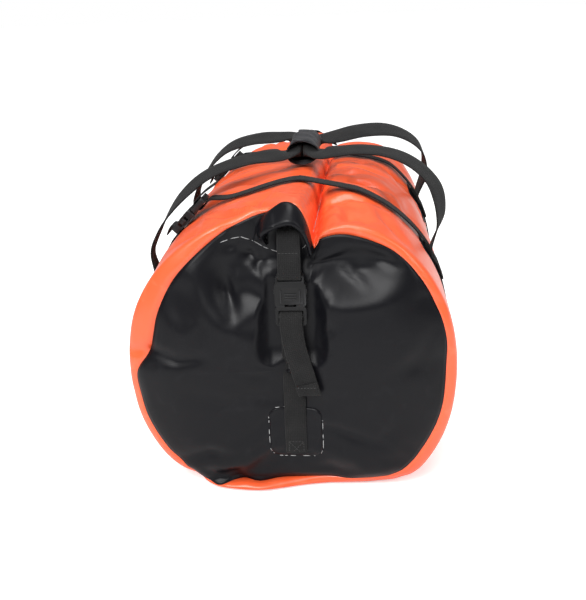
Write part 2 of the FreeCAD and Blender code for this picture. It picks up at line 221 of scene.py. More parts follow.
def make_coated_fabric():
    """Coated fabric: the scrim's faint grid, slow waviness, handling marks and rubbed high spots."""
    group, source, sink = new_group(
        "coated_fabric",
        [("Vector", "NodeSocketVector", None), ("Colour", "NodeSocketColor", (1, 1, 1, 1)),
         ("Rubbed colour", "NodeSocketColor", (1, 1, 1, 1)),
         ("Shade colour", "NodeSocketColor", (0, 0, 0, 1)),
         ("Thread spacing", "NodeSocketFloat", 900.0), ("Scuffs", "NodeSocketFloat", 0.2),
         ("Roughness", "NodeSocketFloat", 0.35)],
        [("Colour", "NodeSocketColor"), ("Roughness", "NodeSocketFloat"), ("Height", "NodeSocketFloat")])
    where = source.outputs["Vector"]
    slow = texture(group, "Noise", where, Scale=9, Detail=3)
    smear = texture(group, "Noise", where, Scale=46, Detail=6, Distortion=0.8)
    speck = texture(group, "Voronoi", where, Scale=160)
    threads = []
    for axis in ("X", "Z"):
        wave = texture(group, "Wave", where, Distortion=0.4)
        wave.bands_direction = axis
        group.links.new(source.outputs["Thread spacing"], wave.inputs["Scale"])
        threads.append(wave.outputs["Fac"])
    grid = math_node(group, "MAXIMUM", threads[0], threads[1])
    shade = times(group, slow.outputs["Fac"], 0.55)
    tinted = colour_mix(group, shade, source.outputs["Colour"], source.outputs["Shade colour"])
    dots = math_node(group, "LESS_THAN", speck.outputs["Distance"], 0.07)
    marks = math_node(group, "SUBTRACT", smear.outputs["Fac"], 0.56)
    marks = times(group, marks, 5.0, clamp=True)
    marks = plus(group, marks, times(group, dots, 0.5), clamp=True)
    marks = times(group, marks, source.outputs["Scuffs"])
    rubbed = colour_mix(group, marks, tinted, source.outputs["Rubbed colour"])
    rough = plus(group, source.outputs["Roughness"], times(group, marks, 0.5))
    rough = plus(group, rough, times(group, slow.outputs["Fac"], 0.10))
    height = plus(group, times(group, grid, 0.12), times(group, smear.outputs["Fac"], 0.9))
    group.links.new(rubbed, sink.inputs["Colour"])
    group.links.new(rough, sink.inputs["Roughness"])
    group.links.new(height, sink.inputs["Height"])
    return group


def make_webbing_weave():
    """Flat woven webbing: ribs across, fine warp along and fluff in the colour.
    Its vector is (distance along, distance across) in metres."""
    group, source, sink = new_group(
        "webbing_weave",
        [("Vector", "NodeSocketVector", None), ("Colour", "NodeSocketColor", (0, 0, 0, 1)),
         ("Worn colour", "NodeSocketColor", (0.2, 0.2, 0.2, 1)), ("Rib spacing", "NodeSocketFloat", 0.0016),
         ("Wear", "NodeSocketFloat", 0.3)],
        [("Colour", "NodeSocketColor"), ("Height", "NodeSocketFloat")])
    parts = group.nodes.new("ShaderNodeSeparateXYZ")
    group.links.new(source.outputs["Vector"], parts.inputs[0])
    turn = math_node(group, "DIVIDE", parts.outputs[0], source.outputs["Rib spacing"])
    warp = times(group, parts.outputs[1], 2 * math.pi / 0.0021)
    stagger = times(group, math_node(group, "SINE", warp), 1.3)
    rib = math_node(group, "SINE", plus(group, times(group, turn, 2 * math.pi), stagger))
    rib = math_node(group, "MULTIPLY_ADD", rib, 0.5)
    group.nodes[-1].inputs[2].default_value = 0.5
    cord = math_node(group, "ABSOLUTE", math_node(group, "SINE", times(group, warp, 0.5)))
    height = plus(group, times(group, rib, 0.6), times(group, cord, 0.6))
    fluff = texture(group, "Noise", source.outputs["Vector"], Scale=900, Detail=4)
    patchy = texture(group, "Noise", source.outputs["Vector"], Scale=45)
    top = times(group, height, fluff.outputs["Fac"])
    top = times(group, top, times(group, patchy.outputs["Fac"], 1.8))
    share = times(group, top, source.outputs["Wear"], clamp=True)
    group.links.new(colour_mix(group, share, source.outputs["Colour"], source.outputs["Worn colour"]),
                    sink.inputs["Colour"])
    group.links.new(height, sink.inputs["Height"])
    return group


def make_moulded_grain():
    """Moulded nylon: spark-eroded grain, faint flow marks and convex edges lightened as a painted highlight.
    """
    group, source, sink = new_group(
        "moulded_grain",
        [("Vector", "NodeSocketVector", None), ("Colour", "NodeSocketColor", (0, 0, 0, 1)),
         ("Rubbed colour", "NodeSocketColor", (0.2, 0.2, 0.2, 1)), ("Grain size", "NodeSocketFloat", 1500.0),
         ("Roughness", "NodeSocketFloat", 0.4)],
        [("Colour", "NodeSocketColor"), ("Roughness", "NodeSocketFloat"), ("Height", "NodeSocketFloat")])
    grain = texture(group, "Noise", source.outputs["Vector"], Detail=2)
    group.links.new(source.outputs["Grain size"], grain.inputs["Scale"])
    flow = texture(group, "Noise", source.outputs["Vector"], Scale=60)
    shape = group.nodes.new("ShaderNodeNewGeometry")
    # convex edges (high pointiness) mix towards the second colour: a painted highlight of the glossy moulded
    # edges
    edge = math_node(group, "SUBTRACT", shape.outputs["Pointiness"], 0.53)
    edge = times(group, edge, 9.0, clamp=True)
    rough = plus(group, source.outputs["Roughness"], times(group, flow.outputs["Fac"], 0.18))
    group.links.new(colour_mix(group, edge, source.outputs["Colour"], source.outputs["Rubbed colour"]),
                    sink.inputs["Colour"])
    group.links.new(rough, sink.inputs["Roughness"])
    group.links.new(grain.outputs["Fac"], sink.inputs["Height"])
    return group


COATED = make_coated_fabric()
WEAVE = make_webbing_weave()
MOULDED = make_moulded_grain()


def grouped_material(name, group, use_uv, values, bump, distance, **shader_values):
    paint = bpy.data.materials.new(name)
    paint.use_nodes = True
    tree = paint.node_tree
    shader = tree.nodes["Principled BSDF"]
    for label, value in shader_values.items():
        shader.inputs[label.replace("_", " ")].default_value = value
    coords = tree.nodes.new("ShaderNodeTexCoord")
    node = tree.nodes.new("ShaderNodeGroup")
    node.node_tree = group
    tree.links.new(coords.outputs["UV" if use_uv else "Object"], node.inputs["Vector"])
    for label, value in values.items():
        node.inputs[label].default_value = value
    tree.links.new(node.outputs["Colour"], shader.inputs["Base Color"])
    if "Roughness" in node.outputs:
        tree.links.new(node.outputs["Roughness"], shader.inputs["Roughness"])
    relief = tree.nodes.new("ShaderNodeBump")
    relief.inputs["Strength"].default_value = bump
    relief.inputs["Distance"].default_value = distance
    tree.links.new(node.outputs["Height"], relief.inputs["Height"])
    tree.links.new(relief.outputs["Normal"], shader.inputs["Normal"])
    return paint


coral = grouped_material(
    "coral_tarpaulin", COATED, False,
    {"Colour": (0.96, 0.128, 0.036, 1), "Rubbed colour": (0.98, 0.36, 0.21, 1),
     "Shade colour": (0.88, 0.082, 0.020, 1), "Thread spacing": 420.0, "Scuffs": 0.16, "Roughness": 0.27},
    0.18, 0.0007, Coat_Weight=0.25, Coat_Roughness=0.25, Specular_IOR_Level=0.55)
black_tarp = grouped_material(
    "black_tarpaulin", COATED, False,
    {"Colour": (0.0030, 0.0030, 0.0042, 1), "Rubbed colour": (0.035, 0.035, 0.039, 1),
     "Shade colour": (0.0055, 0.0055, 0.0080, 1), "Thread spacing": 420.0, "Scuffs": 0.10, "Roughness": 0.32},
    0.2, 0.0006, Specular_IOR_Level=0.20)
webbing = grouped_material(
    "black_webbing", WEAVE, True,
    {"Colour": (0.004, 0.004, 0.0045, 1), "Worn colour": (0.038, 0.037, 0.036, 1),
     "Rib spacing": 0.0021, "Wear": 0.6},
    0.8, 0.0005, Roughness=0.8, Specular_IOR_Level=0.22, Sheen_Weight=0.05, Sheen_Roughness=0.5)
wrap_cloth = grouped_material(
    "wrap_fabric", WEAVE, True,
    {"Colour": (0.010, 0.010, 0.012, 1), "Worn colour": (0.07, 0.07, 0.078, 1),
     "Rib spacing": 0.0009, "Wear": 0.7},
    0.5, 0.0003, Roughness=0.75, Specular_IOR_Level=0.25, Sheen_Weight=0.08)
# In the moulded materials below, the second colour lightens convex edges as a painted highlight.
nylon = grouped_material(
    "buckle_plastic", MOULDED, False,
    {"Colour": (0.004, 0.004, 0.0045, 1), "Rubbed colour": (0.035, 0.035, 0.037, 1),
     "Grain size": 1700.0, "Roughness": 0.28},
    0.15, 0.0002, Specular_IOR_Level=0.3)
thread = grouped_material(
    "sewing_thread", MOULDED, False,
    {"Colour": (0.012, 0.012, 0.013, 1), "Rubbed colour": (0.06, 0.06, 0.06, 1),
     "Grain size": 2500.0, "Roughness": 0.5}, 0.2, 0.0001, Specular_IOR_Level=0.4)
# Pale grey beads: partly real squeezed-out glue, partly painted highlight along the weld edges.
glue_and_seam_highlight = grouped_material(
    "glue_and_seam_highlight", MOULDED, False,
    {"Colour": (0.26, 0.26, 0.27, 1), "Rubbed colour": (0.5, 0.5, 0.5, 1),
     "Grain size": 700.0, "Roughness": 0.4}, 0.3, 0.0002)
strip_plastic = grouped_material(
    "stiffener_plastic", MOULDED, False,
    {"Colour": (0.06, 0.06, 0.065, 1), "Rubbed colour": (0.2, 0.2, 0.2, 1),
     "Grain size": 900.0, "Roughness": 0.45}, 0.1, 0.0002)


# ---------------------------------------------------------------- small helpers for meshes

def only(piece):
    """Selects this piece alone and makes it the active one."""
    bpy.ops.object.select_all(action="DESELECT")
    piece.select_set(True)
    bpy.context.view_layer.objects.active = piece


def apply_modifiers(piece):
    only(piece)
    for modifier in list(piece.modifiers):
        bpy.ops.object.modifier_apply(modifier=modifier.name)


def tidy_normals(piece):
    shape = bmesh.new()
    shape.from_mesh(piece.data)
    bmesh.ops.recalc_face_normals(shape, faces=shape.faces)
    shape.to_mesh(piece.data)
    shape.free()


def new_piece(name, verts, faces, paint, coords=None):
    """A smooth piece from points and faces. coords are the points' places along and across webbing."""
    mesh = bpy.data.meshes.new(name)
    mesh.from_pydata([tuple(v) for v in verts], [], faces)
    if coords:
        layer = mesh.uv_layers.new(name="along_webbing")
        for loop in mesh.loops:
            layer.data[loop.index].uv = coords[loop.vertex_index]
    for face in mesh.polygons:
        face.use_smooth = True
    mesh.materials.append(paint)
    return placed_in_scene(name, mesh)


def strip_faces(rows, across):
    """Faces between rows of points, each row open and with this many edges across."""
    faces = []
    for j in range(rows):
        for i in range(across):
            a = j * (across + 1) + i
            faces.append((a, a + 1, a + across + 2, a + across + 1))
    return faces


def add_wall(piece, thickness, offset):
    wall = piece.modifiers.new("wall", "SOLIDIFY")
    wall.thickness = thickness
    wall.offset = offset
    apply_modifiers(piece)


def soften_edges(piece, width):
    edge = piece.modifiers.new("soft_edges", "BEVEL")
    edge.width = width / 1000
    edge.segments = 2
    edge.limit_method = "ANGLE"
    edge.angle_limit = math.radians(38)
    apply_modifiers(piece)


# ---------------------------------------------------------------- the bag's skin

# Three outlines of the section, point for point: through the middle of the bag, where the side
# turns in to the end ring, and where the ring meets the black panel. Each starts in the crease
# beside the roll and goes down the right side, under the bag and up over the roll.
MIDDLE = [(27, 304), (36, 321), (64, 327), (100, 311), (134, 284), (163, 247), (181, 200), (187, 150),
          (178, 95), (155, 45), (118, 10), (60, 3), (0, 3), (-60, 3), (-115, 10), (-155, 45), (-180, 95),
          (-189, 150), (-186, 205), (-171, 251), (-138, 288), (-97, 311), (-50, 325), (-12, 334),
          (10, 335), (20, 329), (24, 317)]
RIM = [(30, 300), (41, 313), (66, 319), (99, 309), (131, 288), (158, 256), (178, 213), (186, 165),
       (183, 104), (165, 52), (137, 16), (90, 3), (20, 2), (-55, 2), (-106, 5), (-150, 34), (-178, 83),
       (-188, 135), (-186, 185), (-172, 232), (-140, 276), (-98, 306), (-55, 326), (-20, 342),
       (6, 346), (18, 340), (25, 322)]
PANEL = [(29, 296), (38, 305), (62, 309), (92, 301), (120, 287), (145, 261), (165, 225), (175, 180),
         (170, 112), (153, 68), (127, 32), (98, 17), (20, 13), (-60, 12), (-103, 8), (-143, 46), (-170, 96),
         (-180, 152), (-156, 181), (-142, 226), (-119, 266), (-77, 306), (-46, 328), (-18, 338),
         (2, 340), (13, 333), (20, 318)]
STEPS = 6                  # mesh edges between two outline points


def between(a, b, c, d, t):
    """A smooth curve's point at share t between b and c, with neighbours a and d."""
    return 0.5 * (2 * b + (c - a) * t + (2 * a - 5 * b + 4 * c - d) * t ** 2
                  + (3 * b - a - 3 * c + d) * t ** 3)


def closed_curve(points, steps):
    """A smooth closed curve through given points, in metres."""
    knots = np.array(points, float) / 1000
    count = len(knots)
    out = []
    for i in range(count):
        a, b, c, d = (knots[(i + k) % count] for k in (-1, 0, 1, 2))
        out += [between(a, b, c, d, s / steps) for s in range(steps)]
    return np.array(out)


def smooth_step(t):
    t = np.clip(t, 0, 1)
    return t * t * (3 - 2 * t)


def bump(value, centre, width):
    return np.exp(-((value - centre) / width) ** 2)


def lowered_rear(outline, y):
    """The roll sits lower towards the rear end, where less of the load fills the bag."""
    drop = 0.019 * float(smooth_step((y + 0.08) / 0.25)) * smooth_step((outline[:, 1] - 0.290) / 0.05)
    return outline - np.column_stack([np.zeros(len(outline)), drop])


def outline_at(y):
    """The tube's section at y, between the middle's outline and the rim's."""
    share = smooth_step((abs(y) - 0.10) / (RIM_Y - 0.10))
    return lowered_rear(closed_curve(MIDDLE, STEPS) * (1 - share) + closed_curve(RIM, STEPS) * share, y)


def panel_bulge(x, z, share):
    """How far the filled end panel stands out, sagging full below and drawn in under the roll."""
    round_out = 0.012 * np.sqrt(np.clip(1 - share ** 2, 0, 1))
    full = 0.007 * bump(z, 0.195, 0.075) * smooth_step((1 - share) * 4)
    drawn_in = -0.010 * bump(z, 0.300, 0.030) * bump(x, 0.01, 0.09)
    strap_press = -0.008 * bump(x, STRAP_X, 0.020) * smooth_step((z - 0.06) / 0.1)
    return round_out + full + drawn_in + strap_press * smooth_step((1 - share) * 3)


def build_skin():
    rim, panel = closed_curve(RIM, STEPS), closed_curve(PANEL, STEPS)
    count = len(rim)
    rings = []
    for y in np.linspace(-RIM_Y, RIM_Y, 67):
        outline = outline_at(y)
        rings.append(np.column_stack([outline[:, 0], np.full(count, y), outline[:, 1]]))
    centre = np.array([0.0, 0.158])

    def end_rings(sign):
        turn = lowered_rear(rim + (centre - rim) * 0.012, sign * RIM_Y)
        out = [np.column_stack([turn[:, 0], np.full(count, sign * (RIM_Y + 0.0045)), turn[:, 1]])]
        for k in range(24):
            share = 1 - k / 23.5
            ring = centre + (panel - centre) * share
            y = sign * (RING_Y + panel_bulge(ring[:, 0], ring[:, 1], share))
            ring = lowered_rear(ring, sign * RIM_Y)
            out.append(np.column_stack([ring[:, 0], y, ring[:, 1]]))
        return out

    front, rear = end_rings(-1), end_rings(1)
    ordered = front[::-1] + rings + rear
    verts = np.concatenate(ordered)
    faces = []
    for j in range(len(ordered) - 1):
        for i in range(count):
            n = (i + 1) % count
            faces.append((j * count + i, (j + 1) * count + i, (j + 1) * count + n, j * count + n))
    mesh = bpy.data.meshes.new("bag_skin")
    first, last = len(verts), len(verts) + 1
    tips = [(0, -RING_Y - 0.0185, 0.158), (0, RING_Y + 0.0185, 0.158)]
    for i in range(count):
        n = (i + 1) % count
        faces.append((first, i, n))
        base = (len(ordered) - 1) * count
        faces.append((last, base + n, base + i))
    mesh.from_pydata([tuple(v) for v in verts] + tips, [], faces)
    panel_rows = len(front) - 1
    rows = [0 if j < panel_rows - 1 else (2 if j >= len(ordered) - panel_rows else 1)
            for j in range(len(ordered) - 1) for i in range(count)]
    rows += [0, 2] * count
    mesh.polygons.foreach_set("material_index", rows)
    mesh.update()
    skin = placed_in_scene("bag_skin", mesh)
    tidy_normals(skin)
    return skin


skin = build_skin()
for paint in (black_tarp, coral, black_tarp):
    skin.data.materials.append(paint)
for face in skin.data.polygons:
    face.use_smooth = True


# ---------------------------------------------------------------- cloth settling of the skin

def hold_weight(place):
    """How firmly a point of the skin is held: by the roll, the ground, the girth straps or a weld."""
    x, y, z = place
    roll = float(bump(x, 0.010, 0.030) * smooth_step((z - 0.285) / 0.02))
    ground = float(smooth_step((0.016 - z) / 0.010))
    strapped = float(bump(abs(y), GIRTH_Y, 0.018)) * 0.9
    weld = float(bump(abs(y), RIM_Y + 0.004, 0.004)) * 0.25
    end_strap = float(bump(x, STRAP_X, 0.020) * smooth_step((abs(y) - RIM_Y - 0.005) / 0.004)) * 0.9
    return min(1.0, max(roll, ground, strapped, weld, end_strap, 0.03))


def settle(piece, slack, pressure, cap, frames=22):
    """Lets the skin wrinkle as slack coated cloth over its contents, moving no point beyond cap."""
    start = np.array([v.co[:] for v in piece.data.vertices])
    held = piece.vertex_groups.new(name="held")
    for vertex in piece.data.vertices:
        held.add([vertex.index], hold_weight(vertex.co), "REPLACE")
    cloth = piece.modifiers.new("cloth", "CLOTH")
    for label, value in {
            "quality": 7, "mass": 0.35, "tension_stiffness": 30, "compression_stiffness": 30,
            "shear_stiffness": 12, "bending_stiffness": 0.6, "air_damping": 2, "use_pressure": True,
            "uniform_pressure_force": pressure, "shrink_min": -slack, "vertex_group_mass": "held"}.items():
        setattr(cloth.settings, label, value)
    cloth.settings.effector_weights.gravity = 0
    cloth.collision_settings.use_collision = False
    cloth.collision_settings.use_self_collision = False
    scene = bpy.context.scene
    for frame_number in range(1, frames + 1):
        scene.frame_set(frame_number)
    shape = piece.evaluated_get(bpy.context.evaluated_depsgraph_get()).to_mesh()
    end = np.array([v.co[:] for v in shape.vertices])
    piece.modifiers.remove(cloth)
    scene.frame_set(1)
    move = end - start
    reach = np.linalg.norm(move, axis=1, keepdims=True)
    move *= np.minimum(1, cap * np.tanh(reach / cap) / np.maximum(reach, 1e-9))
    cinch = np.abs(np.abs(start[:, 1]) - GIRTH_Y)
    cinch = np.where(np.abs(start[:, 1]) < RIM_Y, 1 - smooth_step((cinch - 0.0145) / 0.010), 0)
    end = start + move * (1 - cinch[:, None])
    end[:, 0] *= 1 - 0.019 * smooth_step((np.abs(end[:, 0]) - 0.07) / 0.08) * (1 - cinch)
    end[:, 2] = np.maximum(end[:, 2], 0.0022)
    piece.data.vertices.foreach_set("co", end.ravel())
    piece.data.update()
    piece.vertex_groups.clear()


# Folds pressed into the front panel, each (points as (x, z) in mm, depth in mm, width in mm);
# a negative depth stands out.
FRONT_FOLDS = [
    ([(-72, 274), (-68, 250), (-61, 226)], 9, 9),
    ([(-100, 264), (-88, 236), (-64, 214), (-34, 228), (-10, 252)], -1.5, 12),
    ([(30, 250), (60, 236), (98, 243), (126, 262)], -2, 13),
    ([(36, 276), (72, 268), (104, 282)], 6, 11), ([(62, 274), (86, 256)], -3, 5),
    ([(84, 292), (120, 276)], 4, 6), ([(-22, 318), (-44, 286)], 5, 4), ([(-12, 304), (-34, 276)], 4, 4),
    ([(-32, 316), (-62, 290)], -3, 5), ([(-104, 250), (-96, 214), (-104, 180)], 3, 9),
    ([(-196, 174), (-160, 181)], 5, 6), ([(-165, 184), (-128, 172), (-96, 178)], 4, 7),
    ([(-140, 34), (-100, 52), (-78, 50)], 5, 8), ([(40, 246), (34, 226), (44, 206)], 3, 6),
    ([(110, 150), (140, 168), (158, 200)], 2.5, 10), ([(-20, 130), (-70, 120), (-120, 128)], 2.0, 12),
    ([(96, 60), (120, 90)], 2.0, 9)]
# The same kind of folds in the shoulders of the tube near its front end: (x, y) in mm.
SHOULDER_FOLDS = [
    ([(-16, -298), (-34, -280), (-48, -250)], 8, 6), ([(-30, -300), (-52, -284), (-72, -258)], -5, 6),
    ([(-44, -300), (-66, -282), (-90, -252)], 8, 7), ([(-62, -300), (-92, -268), (-104, -222)], -4, 8),
    ([(-84, -300), (-112, -272), (-140, -250)], 6, 8), ([(-4, -268), (-24, -236), (-52, -214)], -5, 8),
    ([(46, -284), (52, -250), (46, -214)], -5, 9), ([(92, -292), (84, -262)], 4, 7),
    ([(128, -286), (110, -246), (104, -206)], 5, 9), ([(62, -290), (70, -262), (66, -232)], 4, 7),
    ([(40, -196), (66, -186), (98, -190)], 6, 9), ([(-36, -190), (-80, -196), (-112, -200)], 5, 8),
    ([(48, -110), (76, -84), (112, -76)], 5, 9), ([(-40, -112), (-78, -86), (-118, -84)], 5, 9),
    ([(30, -20), (66, -34), (104, -20)], 5, 10), ([(-44, -14), (-88, -30), (-126, -22)], 5, 10),
    ([(120, -120), (146, -80), (150, -30)], 4, 10), ([(-128, -118), (-150, -76), (-152, -20)], 4, 10)]


def distance_to_line(places, line):
    """Distance of points in a plane from a run of straight pieces, and the share along it."""
    best = np.full(len(places), 1e9)
    share = np.zeros(len(places))
    pieces = len(line) - 1
    for i in range(pieces):
        a, b = np.array(line[i]), np.array(line[i + 1])
        run = b - a
        t = np.clip((places - a) @ run / (run @ run), 0, 1)
        gap = np.linalg.norm(places - a - t[:, None] * run, axis=1)
        closer = gap < best
        best[closer] = gap[closer]
        share[closer] = (i + t[closer]) / pieces
    return best, share


# Hollows where the roll draws the end panel in above a full lower edge:
# centre (x, z), half sizes and depth in mm.
POCKETS = [((-60, 262), (48, 50), 12), ((72, 268), (60, 33), 11), ((-118, 240), (22, 34), 5)]


def under_fold(places):
    """How far the loose skin at the bottom of the front end creeps out over the ground."""
    near_end = smooth_step((-places[:, 1] - 0.275) / 0.03) * smooth_step((0.325 + places[:, 1]) / 0.006)
    return 0.021 * bump(places[:, 0], -0.050, 0.062) * smooth_step((0.013 - places[:, 2]) / 0.009) * near_end


def fold_push(places, line, depth, width):
    """How far a fold along a line moves points in a plane, fading at its two ends."""
    gap, share = distance_to_line(places, line)
    return depth / 1000 * np.exp(-(gap / width) ** 2) * np.sin(np.pi * np.clip(share * 0.8 + 0.1, 0, 1))


def press_folds(piece):
    """Presses the named folds into the skin, and looser copies of them into the rear end."""
    places = np.array([v.co[:] for v in piece.data.vertices])
    mm = places * 1000
    for sign, mirror, depth_share in ((-1, 1, 1.0), (1, -0.93, 0.8)):
        at_end = smooth_step((sign * places[:, 1] - RIM_Y - 0.003) / 0.004)
        at_strap = 1 - bump(places[:, 0], -sign * STRAP_X, 0.018) * (places[:, 2] < 0.285)
        for line, depth, width in FRONT_FOLDS:
            spot = [(x * mirror, z) for x, z in line]
            push = fold_push(mm[:, [0, 2]], spot, depth, width)
            places[:, 1] -= sign * push * at_end * at_strap * depth_share
        for middle, half, depth in POCKETS:
            reach = np.hypot((mm[:, 0] - middle[0] * mirror) / half[0], (mm[:, 2] - middle[1]) / half[1])
            push = depth / 1000 * smooth_step((1.15 - reach) / 0.95)
            places[:, 1] -= sign * push * at_end * at_strap * depth_share
        # the strap and its buckle press a shallow channel, as long as the buckle's travel
        aside = np.abs(places[:, 0] + sign * STRAP_X)
        room = (CHANNEL_Y + 0.03 * smooth_step((aside - 0.023) / 0.035)
                + 0.03 * smooth_step((0.188 - places[:, 2]) / 0.06)
                + 0.03 * smooth_step((places[:, 2] - 0.290) / 0.02))
        places[:, 1] -= sign * np.maximum(0, sign * places[:, 1] - room) * at_end
        on_tube = smooth_step((RIM_Y - np.abs(places[:, 1])) / 0.012)
        on_tube = on_tube * smooth_step((places[:, 2] - 0.2) / 0.03)
        free = smooth_step((np.abs(np.abs(places[:, 1]) - GIRTH_Y) - 0.014) / 0.012)
        for line, depth, width in SHOULDER_FOLDS:
            spot = [(x * (1 if sign < 0 else 0.95), -sign * y) for x, y in line]
            push = fold_push(mm[:, [0, 1]], spot, depth, width)
            out = np.column_stack([places[:, 0], np.zeros(len(places)), places[:, 2] - CORE_Z])
            out /= np.maximum(np.linalg.norm(out, axis=1, keepdims=True), 1e-6)
            places -= out * (push * on_tube * free)[:, None]
    places[:, 1] -= under_fold(places)
    piece.data.vertices.foreach_set("co", places.ravel())
    piece.data.update()


def refine(piece):
    """One subdivision, after the settling."""
    smooth = piece.modifiers.new("smooth", "SUBSURF")
    smooth.levels = smooth.render_levels = 1
    apply_modifiers(piece)


settle(skin, 0.035, 2.0, 0.010)
refine(skin)
press_folds(skin)


def split_skin(piece):
    """Cuts a copy of the skin at the two welds into tube and end panels, each with its wall."""
    shown = piece.copy()
    shown.data = piece.data.copy()
    bpy.context.scene.collection.objects.link(shown)
    only(shown)
    bpy.ops.object.mode_set(mode="EDIT")
    bpy.ops.mesh.select_all(action="SELECT")
    bpy.ops.mesh.separate(type="MATERIAL")
    bpy.ops.object.mode_set(mode="OBJECT")
    for part in list(bpy.context.selected_objects):
        depth = sum(v.co.y for v in part.data.vertices) / len(part.data.vertices)
        name = "tube_skin" if abs(depth) < 0.1 else ("front_panel_skin" if depth < 0 else "rear_panel_skin")
        stands_for = {"tube_skin": ("body_panel", "closure_roll"), "front_panel_skin": ("front_end_panel",),
                      "rear_panel_skin": ("rear_end_panel",)}[name]
        part.name = part.data.name = name
        add_wall(part, WALL, -1)
        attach(part, "root")
        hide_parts(*stands_for)


# ---------------------------------------------------------------- reading the skin's surface

def hull(points):
    """The convex outline of points in a plane, anticlockwise."""
    ordered = sorted(map(tuple, points))

    def half(run):
        out = []
        for p in run:
            while len(out) > 1 and ((out[-1][0] - out[-2][0]) * (p[1] - out[-2][1])
                                    - (out[-1][1] - out[-2][1]) * (p[0] - out[-2][0])) <= 0:
                out.pop()
            out.append(p)
        return out[:-1]
    return half(ordered) + half(ordered[::-1])


def taut_route(y, lift):
    """The line a tight strap takes round the bag at y, from its right side over the top."""
    tight = np.array(hull(outline_at(y)))
    before, after = np.roll(tight, 1, axis=0), np.roll(tight, -1, axis=0)
    run = after - before
    out = np.column_stack([run[:, 1], -run[:, 0]])
    out /= np.linalg.norm(out, axis=1)[:, None]
    moved = tight + out * lift
    start = int(np.argmin(np.abs(moved[:, 1] - 0.15) + (moved[:, 0] < 0) * 10))
    return np.roll(moved, -start, axis=0)


def on_skin(origin, direction, lift):
    """The point where a ray meets the skin, lifted back along the ray."""
    heading = Vector(direction).normalized()
    hit, place, _, _ = skin.ray_cast(Vector(origin), heading)
    if not hit:
        raise RuntimeError(f"no skin beyond {tuple(origin)}")
    return place - heading * lift


# ---------------------------------------------------------------- webbing

def smooth_route(points, spacing):
    """Points every spacing along a smooth line through given points."""
    knots = np.array(points, float)
    ends = np.vstack([2 * knots[0] - knots[1], knots, 2 * knots[-1] - knots[-2]])
    dense = []
    for i in range(len(knots) - 1):
        a, b, c, d = ends[i:i + 4]
        gap = np.linalg.norm(c - b)
        steps = max(2, int(gap / spacing))
        dense += [between(a, b, c, d, s / steps) for s in range(steps)]
    dense.append(knots[-1])
    return np.array(dense)


def ribbon(name, route, facing, width, thick, paint, body="root", replaces=(), spacing=0.004):
    """Webbing along a route. facing(point, run) gives the way its face looks; width and thick
    are numbers or functions of the share of the length."""
    line = smooth_route(route, spacing)
    steps = np.linalg.norm(np.diff(line, axis=0), axis=1)
    length = np.concatenate([[0], np.cumsum(steps)])
    profile = [(-0.5, 0.0), (-0.47, 0.5), (-0.25, 0.56), (0, 0.52), (0.25, 0.56), (0.47, 0.5), (0.5, 0.0),
               (0.47, -0.5), (0.25, -0.56), (0, -0.52), (-0.25, -0.56), (-0.47, -0.5)]
    verts, coords = [], []
    for i, point in enumerate(line):
        run = line[min(i + 1, len(line) - 1)] - line[max(i - 1, 0)]
        run = run / np.linalg.norm(run)
        out = np.array(facing(point, run), float)
        out = out - run * out.dot(run)
        out /= np.linalg.norm(out)
        side = np.cross(run, out)
        share = length[i] / length[-1]
        wide = width(share) if callable(width) else width
        deep = thick(share) if callable(thick) else thick
        for across, up in profile:
            verts.append(point + side * across * wide + out * up * deep)
            coords.append((length[i], across * wide))
    count = len(profile)
    faces = []
    for j in range(len(line) - 1):
        for i in range(count):
            n = (i + 1) % count
            faces.append((j * count + i, j * count + n, (j + 1) * count + n, (j + 1) * count + i))
    faces.append(tuple(range(count))[::-1])
    faces.append(tuple(range((len(line) - 1) * count, len(line) * count)))
    piece = new_piece(name, verts, faces, paint, coords)
    tidy_normals(piece)
    if body:
        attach(piece, body)
    if replaces:
        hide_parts(*replaces)
    return piece


def handle_facing(point, _run):
    """Flat on the bag's side at the feet, and lying back a little where the loop rises."""
    tilt = -0.075 if point[1] < 0 else -0.045
    risen = float(smooth_step((point[2] - 0.27) / 0.06))
    clear_of_wrap = float(smooth_step((abs(point[1]) - 0.045) / 0.02))
    return (point[0], tilt * risen * clear_of_wrap, point[2] - CORE_Z)


def buckle_place(label):
    """A buckle's own frame at rest, read from its female half: mouth, way in and way out."""
    low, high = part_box(f"{label}_buckle_female")
    middle = (np.array(low) + np.array(high)) / 2
    if "girth" in label:
        inward = np.array([-1, 0, -1]) / math.sqrt(2)
        outward = np.array([-1, 0, 1]) / math.sqrt(2)
    else:
        inward = np.array([0, 0, 1.0])
        outward = np.array([0, math.copysign(1, middle[1]), 0])
    return middle - inward * 0.018 - outward * 0.00525, inward, outward


def in_buckle(label, points):
    mouth, inward, outward = buckle_place(label)
    return [tuple(mouth + inward * a / 1000 + outward * b / 1000) for a, b in points]


# Webbing through a buckle, in mm in its own frame (distance in from the mouth, distance out from
# its back): round the bar of the female half, and through the ladder lock of the male half.
BAR_LOOP = [(46, -1.0), (38, -1.5), (33.4, -1.6), (31.1, 1.2), (31.1, 9.2), (33.4, 12.1), (38, 11.9),
            (46, 9.0)]
LADDER_LOOP = [(-26, -0.6), (-16, -0.7), (-10, -0.6), (-7.5, 1.8), (-7.4, 8.4), (-9.8, 11.0),
               (-16, 11.3), (-24, 11.2)]


def buckle_facing(label):
    _, _, outward = buckle_place(label)
    seen = [outward]

    def facing(_point, run):
        """Keeps turning with the route, so that the band can fold round a bar."""
        across = np.array([0, 1, 0]) if "girth" in label else np.array([1, 0, 0])
        normal = np.cross(across, run)
        if normal.dot(seen[-1]) < 0:
            normal = -normal
        seen.append(normal)
        return normal
    return facing


